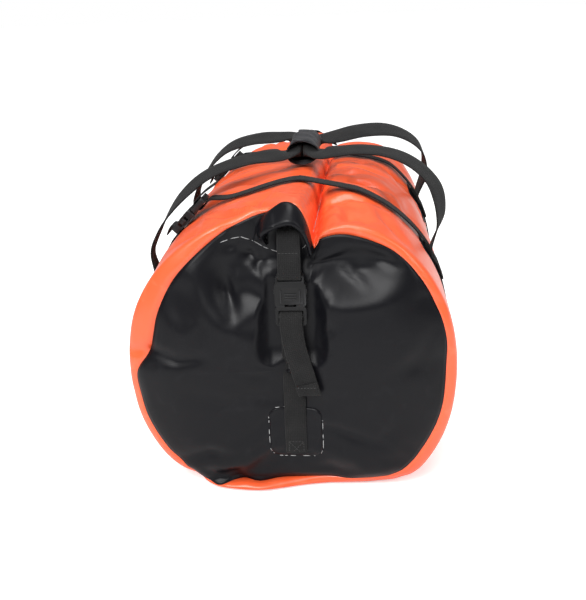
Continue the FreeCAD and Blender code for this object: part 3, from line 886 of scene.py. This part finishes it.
def build_girth_straps():
    """Each girth strap is two bands: under the bag to the female half, and over the roll."""
    for end, sign in ENDS:
        y = sign * GIRTH_Y
        label = f"{end}_girth"
        under = taut_route(y, 0.0012 + WEB_THICK / 2)[::-1]
        low = [(x, y, z) for x, z in under if z < 0.245 or (x > 0 and z < 0.258)]
        lower = [p for p in low if p[0] > 0 or p[2] < 0.238]
        first = max(range(len(lower)), key=lambda i: lower[i][2] if lower[i][0] > 0 else -1)
        lower = lower[first:] + lower[:first]
        ribbon(f"{end}_girth_lower_webbing", lower[::2] + in_buckle(label, BAR_LOOP),
               buckle_facing(label), WEB, WEB_THICK, webbing, replaces=(f"{end}_girth_lower",))
        over = taut_route(y, 0.0030 + WEB_THICK / 2)
        top = [(x, y, z) for x, z in over if z > 0.235 and x > -0.085]
        top.sort(key=lambda p: -p[0])
        piece = ribbon(f"{end}_girth_top_webbing",
                       top[::2] + in_buckle(label, LADDER_LOOP + [(-34, 9.8), (-46, 7.2)]),
                       buckle_facing(label), WEB, WEB_THICK, webbing, body=None,
                       replaces=(f"{end}_girth_top",))
        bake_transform(piece)


def stitches(name, lines, target, heading, paint, body=None, length=0.0024, gap=0.0012, width=0.0006,
             rise=0.0004, uneven=0.0):
    """Short raised threads along lines that are laid on a piece, looking along heading."""
    bpy.context.view_layer.update()
    heading = Vector(heading).normalized()
    verts, faces = [], []
    for line in lines:
        for a, b in zip(line[:-1], line[1:]):
            a, b = Vector(a), Vector(b)
            run = (b - a).normalized()
            side = run.cross(heading).normalized()
            at = 0.0
            while at < (b - a).length:
                own = length * (1 + uneven * random.uniform(-1, 1))
                row = []
                for share, swell in ((0.0, 0.35), (0.2, 0.9), (0.5, 1.0), (0.8, 0.9), (1.0, 0.35)):
                    spot = a + run * min(at + own * share, (b - a).length)
                    hit, place, _, _ = target.ray_cast(spot - heading * 0.001, heading)
                    if hit:
                        row.append((place, swell))
                if len(row) == 5 and own > 0.0004:
                    first = len(verts)
                    for place, swell in row:
                        half = width / 2 * swell
                        for across, up in ((-1, -0.3), (-0.7, 0.7), (0.7, 0.7), (1, -0.3)):
                            verts.append(place + side * across * half - heading * rise * up * swell)
                    for j in range(4):
                        for i in range(4):
                            n = (i + 1) % 4
                            faces.append((first + j * 4 + i, first + j * 4 + n, first + j * 4 + 4 + n,
                                          first + j * 4 + 4 + i))
                    faces.append((first, first + 1, first + 2, first + 3))
                    faces.append((first + 19, first + 18, first + 17, first + 16))
                at += own + gap * (1 + uneven * random.uniform(-1, 1))
    piece = new_piece(name, verts, faces, paint)
    tidy_normals(piece)
    if body:
        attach(piece, body)
    return piece


def box_stitch(name, target, centre, heading, wide, high, body="root"):
    """A sewn box with its crossed diagonals."""
    heading = Vector(heading)
    across = Vector((0, 1, 0)) if abs(heading[0]) > 0.5 else Vector((1, 0, 0))
    upward = Vector((0, 0, 1))
    corners = [Vector(centre) + across * a * wide / 2 + upward * b * high / 2
               for a, b in ((-1, -1), (1, -1), (1, 1), (-1, 1))]
    return stitches(name, [corners + corners[:1], [corners[0], corners[2]], [corners[1], corners[3]]],
                    target, heading, thread, body=body)


def build_end_straps():
    """At each end, a tab over the female half's bar, and the sewn strap with its tail and hem."""
    for end, sign in ENDS:
        x = -sign * STRAP_X
        inwards = (0, -sign, 0)
        hood_y = sign * 0.3275
        tab = [(x, sign * 0.316, 0.322), (x, sign * 0.3235, 0.316), (x, hood_y, 0.303),
               (x, hood_y + sign * 0.0015, 0.290)]
        tab_piece = ribbon(f"{end}_tab", tab + in_buckle(end, BAR_LOOP[:0:-1]), buckle_facing(end), WEB,
                           WEB_THICK, webbing, replaces=(f"{end}_tab_webbing",))
        foot = [tuple(on_skin((x, sign * OUTSIDE, z), inwards, 0.0035))
                for z in (0.053, 0.075, 0.100, 0.120)]
        rise = [(x, sign * 0.3235, 0.160), (x, sign * 0.3212, 0.195)]
        hang = in_buckle(end, [(-50, 13.5), (-80, 14.5), (-103, 13.5)])
        lean = [(p[0] + aside * -sign, p[1], p[2]) for p, aside in zip(hang, (0.004, 0.012, 0.018))]
        piece = ribbon(f"{end}_strap_webbing", foot + rise + in_buckle(end, LADDER_LOOP[1:]) + lean,
                       buckle_facing(end), WEB, WEB_THICK, webbing, body=None,
                       replaces=(f"{end}_strap",))
        last, before = np.array(lean[-1]), np.array(lean[-2])
        run = (last - before) / np.linalg.norm(last - before)
        fold = [last + run * along + (0, sign * out, 0)
                for along, out in ((-0.0125, 0.0019), (-0.004, 0.0021), (0.0006, 0.0012), (0.001, -0.0004))]
        hem = ribbon(f"{end}_strap_hem", fold, buckle_facing(end), WEB * 1.03, WEB_THICK, webbing,
                     body=None, spacing=0.001)
        box_stitch(f"{end}_strap_stitching", piece, (x, sign * OUTSIDE, 0.0585), inwards, 0.017, 0.019)
        hem_row = [tuple(last - run * 0.009 + np.array((dx, sign * 0.1, 0))) for dx in (-0.011, 0.011)]
        hem_stitching = stitches(f"{end}_hem_stitching", [hem_row], hem, inwards, thread)
        for part in (piece, hem, hem_stitching):
            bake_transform(part)
        tab_row = [(x + dx, sign * OUTSIDE, 0.2965) for dx in (-0.011, 0.011)]
        stitches(f"{end}_tab_stitching", [tab_row], tab_piece, inwards, thread, body="root")


# One near leg of each handle above its foot, in mm, up to the wrap
LEFT_LEG = [(-191, -151, 245), (-187, -145, 262), (-171, -134, 291),
            (-149, -120, 317), (-120, -103, 338), (-80, -82, 350), (-48, -66, 353), (-20, -55, 354)]
RIGHT_LEG = [(177, -151, 280), (178, -143, 304), (170, -131, 328),
             (148, -116, 348), (118, -101, 360), (79, -82, 362), (44, -66, 357), (20, -55, 354)]


def build_handles():
    """Webbing loops, flat along their legs and folded to a thick grip inside the wrap."""
    folded, flat = 0.0165, 0.0021
    for side, sign, leg, lift in (("left", -1, LEFT_LEG, 0.006), ("right", 1, RIGHT_LEG, 0.0)):
        hinge_z = HINGE_Z[side]
        foot = [tuple(on_skin((sign * OUTSIDE, -GIRTH_Y, hinge_z + rise), (-sign, 0, 0), 0.0044))
                for rise in (-0.034, -0.016, 0.0)]
        points = foot + [tuple(v / 1000 for v in p) for p in leg]
        grip = [(sign * 0.0088, y, GRIP_Z) for y in (-0.035, 0.0, 0.035)]
        far = [(x, -y, z + lift * (1 - abs(x) / 0.19)) for x, y, z in reversed(points)]

        def width(share):
            return folded + (HANDLE_WEB - folded) * smooth_step((abs(share - 0.5) - 0.050) / 0.045)

        def thick(share):
            return folded + (flat - folded) * smooth_step((abs(share - 0.5) - 0.045) / 0.035)

        piece = ribbon(f"{side}_handle_webbing", points + grip + far, handle_facing, width, thick, webbing,
                       body=None, replaces=(f"{side}_handle",))
        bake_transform(piece)
        for end, y in (("front", -GIRTH_Y), ("rear", GIRTH_Y)):
            box_stitch(f"{end}_{side}_handle_stitching", piece, (sign * OUTSIDE, y, hinge_z - 0.023),
                       (-sign, 0, 0), 0.026, 0.019)


# ---------------------------------------------------------------- welded patches

def welded_patch(name, centre, size, toward, corner, paint, replaces, rise=0.0009):
    """A rounded patch that lies on the skin, with a raised field inside its welded rim.
    centre is outside the bag, and toward is the way from there to the skin."""
    across = Vector((0, 1, 0)) if abs(toward[0]) > 0.5 else Vector((1, 0, 0))
    upward = Vector(toward).cross(across).normalized()
    steps = 26
    verts = []
    half_w, half_h = size[0] / 2, size[1] / 2
    for j in range(steps + 1):
        for i in range(steps + 1):
            a, b = (2 * i / steps - 1), (2 * j / steps - 1)
            u, v = a * half_w, b * half_h
            over_u, over_v = abs(u) - (half_w - corner), abs(v) - (half_h - corner)
            if over_u > 0 and over_v > 0:
                reach = math.hypot(over_u, over_v)
                largest = max(over_u, over_v)
                u -= math.copysign(over_u * (1 - largest / reach), u)
                v -= math.copysign(over_v * (1 - largest / reach), v)
            edge = min(half_w - abs(u), half_h - abs(v))
            lift = 0.0004 + rise * float(smooth_step(edge / 0.0015))
            lift += 0.0007 * float(smooth_step((edge - 0.007) / 0.0015))
            start = Vector(centre) + across * u + upward * v
            verts.append(on_skin(start, toward, lift))
    piece = new_piece(name, verts, strip_faces(steps, steps), paint)
    add_wall(piece, 0.0012, -1 if piece.data.polygons[0].normal.dot(Vector(toward)) < 0 else 1)
    tidy_normals(piece)
    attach(piece, "root")
    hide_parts(*replaces)
    return piece


def build_patches():
    """The patches under the end straps' feet and the handles' feet."""
    for end, sign in ENDS:
        x = -sign * STRAP_X
        y = sign * GIRTH_Y
        for place, centre, size, toward in (
                ("strap", (x, sign * OUTSIDE, 0.079), (0.060, 0.064), (0, -sign, 0)),
                ("left", (-OUTSIDE, y, 0.207), (0.056, 0.060), (1, 0, 0)),
                ("right", (OUTSIDE, y, 0.234), (0.056, 0.060), (-1, 0, 0))):
            welded_patch(f"{end}_{place}_patch_welded", centre, size, toward, 0.012, black_tarp,
                         (f"{end}_{place}_patch",))


# ---------------------------------------------------------------- hoods over the roll's ends

HOOD_BACK = [(-36, 310, 305), (-28, 311, 328), (-12, 311, 342), (0, 311, 348), (13, 311, 343), (23, 312, 324),
             (30, 313, 296)]
HOOD_LIP = [(-22, 322, 306), (-25, 330, 317), (-12, 335, 326), (7, 337, 331), (19, 335, 323), (25, 331, 309),
            (28, 323, 292)]


def build_hoods():
    """The folded cap at each end of the roll, open towards the strap below it."""
    for end, sign in ENDS:
        def placed(points):
            drop = 0.018 if sign > 0 else 0.0
            return smooth_route([(x / 1000 * -sign, sign * y / 1000, z / 1000 - drop * bump(z, 345, 28))
                                 for x, y, z in points], 0.0025)
        back, lip = placed(HOOD_BACK), placed(HOOD_LIP)
        count = 40
        pick_back = back[np.linspace(0, len(back) - 1, count).astype(int)]
        pick_lip = lip[np.linspace(0, len(lip) - 1, count).astype(int)]
        verts = []
        rows = 9
        for j in range(rows):
            t = j / (rows - 1)
            swell = math.sin(math.pi * t)
            for i in range(count):
                p = pick_back[i] * (1 - t) + pick_lip[i] * t
                crown = math.sin(math.pi * i / (count - 1))
                pleat = 0.0017 * math.sin(i * 0.62 + 2.2 * t) * swell * (1 - crown * 0.4)
                verts.append((p[0], p[1] - sign * 0.002 * swell, p[2] + 0.0035 * swell * crown + pleat))
        # the lip turns under and back into the dark
        for narrower, inward, lower in ((0.93, 0.0035, 0.003), (0.86, 0.015, 0.004)):
            for p in pick_lip:
                verts.append((p[0] * narrower, p[1] - sign * inward, p[2] - lower))
        piece = new_piece(f"{end}_roll_hood", verts, strip_faces(rows + 1, count - 1), black_tarp)
        tidy_normals(piece)
        add_wall(piece, 0.0009, 0)
        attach(piece, "root")


# ---------------------------------------------------------------- wrap round the handles

def build_wrap():
    """A hook-and-loop flap wound round both grips, with its free edge lapping over the top."""
    turns = 1.22
    steps, rows = 64, 22
    half_x, half_z = 0.0180, 0.0125
    verts, coords = [], []
    for j in range(rows + 1):
        y = (j / rows - 0.5) * 0.098
        flare = 1 + 0.10 * abs(2 * j / rows - 1) ** 3
        for i in range(steps + 1):
            turn = i / steps * turns
            angle = 2 * math.pi * turn + 0.6
            lap = 0.0019 * turn
            power = 0.72
            cosine, sine = math.cos(angle), math.sin(angle)
            x = math.copysign(abs(cosine) ** power, cosine) * (half_x * flare + lap)
            z = math.copysign(abs(sine) ** power, sine) * (half_z * flare + lap)
            sag = 0.0014 * math.sin(y * 130 + i * 0.2) + 0.0009 * math.sin(y * 310 - i * 0.33)
            verts.append((x, y + 0.002 * math.sin(i * 0.31), GRIP_Z + z + sag))
            coords.append((i / steps * 0.13, y))
    piece = new_piece("handle_wrap_flap", verts, strip_faces(rows, steps), wrap_cloth, coords)
    add_wall(piece, 0.0013, 0)
    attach(piece, "left_handle")
    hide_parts("handle_wrap")


# ---------------------------------------------------------------- side-release buckles

# A buckle is modelled once in its own frame, in mm: x across, y from the mouth into the female
# half, z out from its back. The copies are then put where the frame has them.

def open_block(low, high):
    """A block between two corners, left open in edit mode."""
    bpy.ops.object.select_all(action="DESELECT")
    middle = [(a + b) / 2000 for a, b in zip(low, high)]
    extent = [(b - a) / 1000 for a, b in zip(low, high)]
    bpy.ops.mesh.primitive_cube_add(size=1, location=middle, scale=extent)
    bpy.ops.object.transform_apply(location=True, rotation=False, scale=True)
    bpy.ops.object.mode_set(mode="EDIT")
    return bpy.context.object


def pick(piece, kind, test):
    """Selects only the faces or edges whose middle and direction, in mm, pass the test."""
    bpy.ops.mesh.select_all(action="DESELECT")
    bpy.ops.mesh.select_mode(type=kind)
    shape = bmesh.from_edit_mesh(piece.data)
    for item in (shape.faces if kind == "FACE" else shape.edges):
        if kind == "FACE":
            place, way = item.calc_center_median() * 1000, item.normal
        else:
            ends = [v.co for v in item.verts]
            place, way = (ends[0] + ends[1]) * 500, (ends[1] - ends[0]).normalized()
        if test(place, way):
            item.select_set(True)
    shape.select_flush_mode()
    bmesh.update_edit_mesh(piece.data)


def close_block(piece, soften=0.0):
    bpy.ops.object.mode_set(mode="OBJECT")
    if soften:
        soften_edges(piece, soften)
    return piece


def pull(*way):
    """Extrudes the selected faces, in metres."""
    bpy.ops.mesh.extrude_region_move(TRANSFORM_OT_translate={"value": way})


def cut_away(piece, low, high):
    cutter = close_block(open_block(low, high))
    hole = piece.modifiers.new("opening", "BOOLEAN")
    hole.operation = "DIFFERENCE"
    hole.object = cutter
    hole.solver = "EXACT"
    apply_modifiers(piece)
    bpy.data.objects.remove(cutter)


def joined(pieces):
    bpy.ops.object.select_all(action="DESELECT")
    for piece in pieces:
        piece.select_set(True)
    bpy.context.view_layer.objects.active = pieces[0]
    bpy.ops.object.join()
    return pieces[0]


def rounded_bar(low, high, soften):
    return close_block(open_block(low, high), soften)


def model_female():
    """Socket with side windows, a sunk thumb panel with ridges, and the bar for the webbing."""
    piece = open_block((-17, 0, 0), (17, 24, 10.5))
    pick(piece, "FACE", lambda at, way: way.y > 0.9)
    pull(0, 0.004, 0)
    bpy.ops.transform.resize(value=(0.91, 1, 0.94), center_override=(0, 0.028, 0.00525))
    pull(0, 0.008, 0)
    pick(piece, "EDGE", lambda at, way: abs(way.z) > 0.9 and (at.y < 1 or at.y > 34))
    bpy.ops.mesh.bevel(offset=0.0032, segments=4, affect="EDGES")
    pick(piece, "FACE", lambda at, way: way.z > 0.9 and at.y < 20)
    bpy.ops.mesh.inset(thickness=0.0034, depth=-0.0006)
    close_block(piece)
    for side in (-1, 1):
        cut_away(piece, (min(side * 13, side * 20), 9.6, 2.3), (max(side * 13, side * 20), 24.2, 8.2))
    cut_away(piece, (-13.6, -1, 2.0), (13.6, 25, 8.5))
    cut_away(piece, (-13.2, 29.0, -2), (13.2, 33.4, 13))
    cut_away(piece, (-6.5, -3, 8.0), (6.5, 2.6, 13))
    soften_edges(piece, 0.5)
    ridges = [rounded_bar((-6.5, y, 9.5), (6.5, y + 1.2, 10.7), 0.3) for y in (8, 11, 14)]
    rails = [rounded_bar((x - 0.8, 4.5, 9.6), (x + 0.8, 19.5, 10.9), 0.35) for x in (-10.4, 10.4)]
    return joined([piece] + ridges + rails)


def model_male():
    """Ladder lock with a raised frame, ribbed middle bar and tapered tongue."""
    piece = open_block((-17, -22.3, 1.5), (17, -0.3, 9.0))
    pick(piece, "EDGE", lambda at, way: abs(way.z) > 0.9)
    bpy.ops.mesh.bevel(offset=0.0034, segments=4, affect="EDGES")
    pick(piece, "FACE", lambda at, way: way.z > 0.9)
    bpy.ops.mesh.inset(thickness=0.0026, depth=-0.0009)
    close_block(piece)
    cut_away(piece, (-13.4, -9.5, -2), (13.4, -5.5, 13))
    cut_away(piece, (-13.4, -17.6, -2), (13.4, -13.5, 13))
    soften_edges(piece, 0.6)
    ribs = [rounded_bar((x - 0.5, -13.2, 7.6), (x + 0.5, -9.8, 8.7), 0.25) for x in range(-12, 13, 3)]
    tongue = open_block((-3.5, -3.0, 4.0), (3.5, 16, 6.5))
    pick(tongue, "FACE", lambda at, way: way.y > 0.9)
    pull(0, 0.0058, 0)
    bpy.ops.transform.resize(value=(0.6, 1, 0.6), center_override=(0, 0.0218, 0.00525))
    close_block(tongue, 0.4)
    return joined([piece, tongue] + ribs)


def model_arm():
    """A sprung arm with the ribbed button that stands out of the socket's window."""
    piece = open_block((9.5, 0.1, 2.65), (12.7, 11.6, 7.85))
    pick(piece, "FACE", lambda at, way: way.y > 0.9)
    pull(0, 0.0104, 0)
    pick(piece, "FACE", lambda at, way: way.x > 0.9 and at.y > 12)
    pull(0.0054, 0, 0)
    bpy.ops.transform.resize(value=(1, 0.72, 1), center_override=(0.0181, 0.0172, 0.00525))
    pick(piece, "EDGE", lambda at, way: abs(way.z) > 0.9 and at.x > 17)
    bpy.ops.mesh.bevel(offset=0.0018, segments=3, affect="EDGES")
    close_block(piece, 0.35)
    ribs = [rounded_bar((17.6, y, 3.3), (18.3, y + 0.8, 7.2), 0.2) for y in (14.6, 16.8, 19.0)]
    return joined([piece] + ribs)


def build_buckles():
    models = {"female": model_female(), "male": model_male(), "arm_a": model_arm()}
    for label in ("front", "rear", "front_girth", "rear_girth"):
        mouth, inward, outward = buckle_place(label)
        across = np.cross(inward, outward)
        place = Matrix([(across[i], inward[i], outward[i], mouth[i]) for i in range(3)] + [(0, 0, 0, 1)])
        for part in ("female", "male", "arm_a", "arm_b"):
            mesh = models["arm_a" if part == "arm_b" else part].data.copy()
            if part == "arm_b":
                mesh.transform(Matrix.Diagonal((-1, 1, 1, 1)))
            mesh.transform(place)
            mesh.materials.clear()
            mesh.materials.append(nylon)
            piece = placed_in_scene(f"{label}_{part}_moulding", mesh)
            tidy_normals(piece)
            only(piece)
            bpy.ops.object.shade_smooth_by_angle(angle=math.radians(40))
            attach(piece, "root" if part == "female" else f"{label}_{part}")
            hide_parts(f"{label}_buckle_{part}")
    for model in models.values():
        bpy.data.objects.remove(model)


# ---------------------------------------------------------------- glue squeezed out of the welds, its pale grey partly a painted highlight of the weld edges

def build_glue_and_highlight_lines():
    for end, sign in ENDS:
        x = -sign * STRAP_X

        def outside(points):
            return [(px / 1000 * -sign, sign * OUTSIDE, z / 1000) for px, z in points]
        # the pale beads along the panel's welds are partly real glue and partly painted highlight of the weld
        # edges
        seams = [outside([(-72, 304), (-60, 308), (-49, 310), (-36, 305), (-25, 298), (-10, 292)]),
                 outside([(17, 295), (24, 302), (30, 309)])]
        stitches(f"{end}_weld_glue_and_highlight", seams, skin, (0, -sign, 0), glue_and_seam_highlight, body="root",
                 length=0.0075, gap=0.0022, width=0.0007, rise=0.0003, uneven=0.6)
        low, high, half = 46, 112, 31
        edge = [[(x + a / 1000, sign * OUTSIDE, b / 1000) for a, b in side] for side in (
            ((-half, 100), (-half, low + 12), (-half + 4, low + 3)), ((-half + 10, low), (half - 10, low)),
            ((half - 3, low + 4), (half, low + 12), (half, 96)), ((-half + 8, high), (-half + 22, high)))]
        stitches(f"{end}_patch_bead", edge, skin, (0, -sign, 0), glue_and_seam_highlight, body="root",
                 length=0.0060, gap=0.0050, width=0.0008, rise=0.0004, uneven=0.8)


# ---------------------------------------------------------------- stiffener inside the roll

def build_stiffener():
    """A springy strip that follows the roll from end to end, well under its skin."""
    route = [tuple(on_skin((-0.008, y, 0.6), (0, 0, -1), -0.016)) for y in np.linspace(-0.285, 0.285, 20)]
    ribbon("roll_stiffener", route, lambda point, run: (0, 0, 1), 0.024, 0.002, strip_plastic,
           replaces=("closure_stiffener",), spacing=0.010)


split_skin(skin)
build_patches()
build_girth_straps()
build_end_straps()
build_handles()
build_hoods()
build_wrap()
build_buckles()
build_glue_and_highlight_lines()
build_stiffener()
bpy.data.objects.remove(skin)
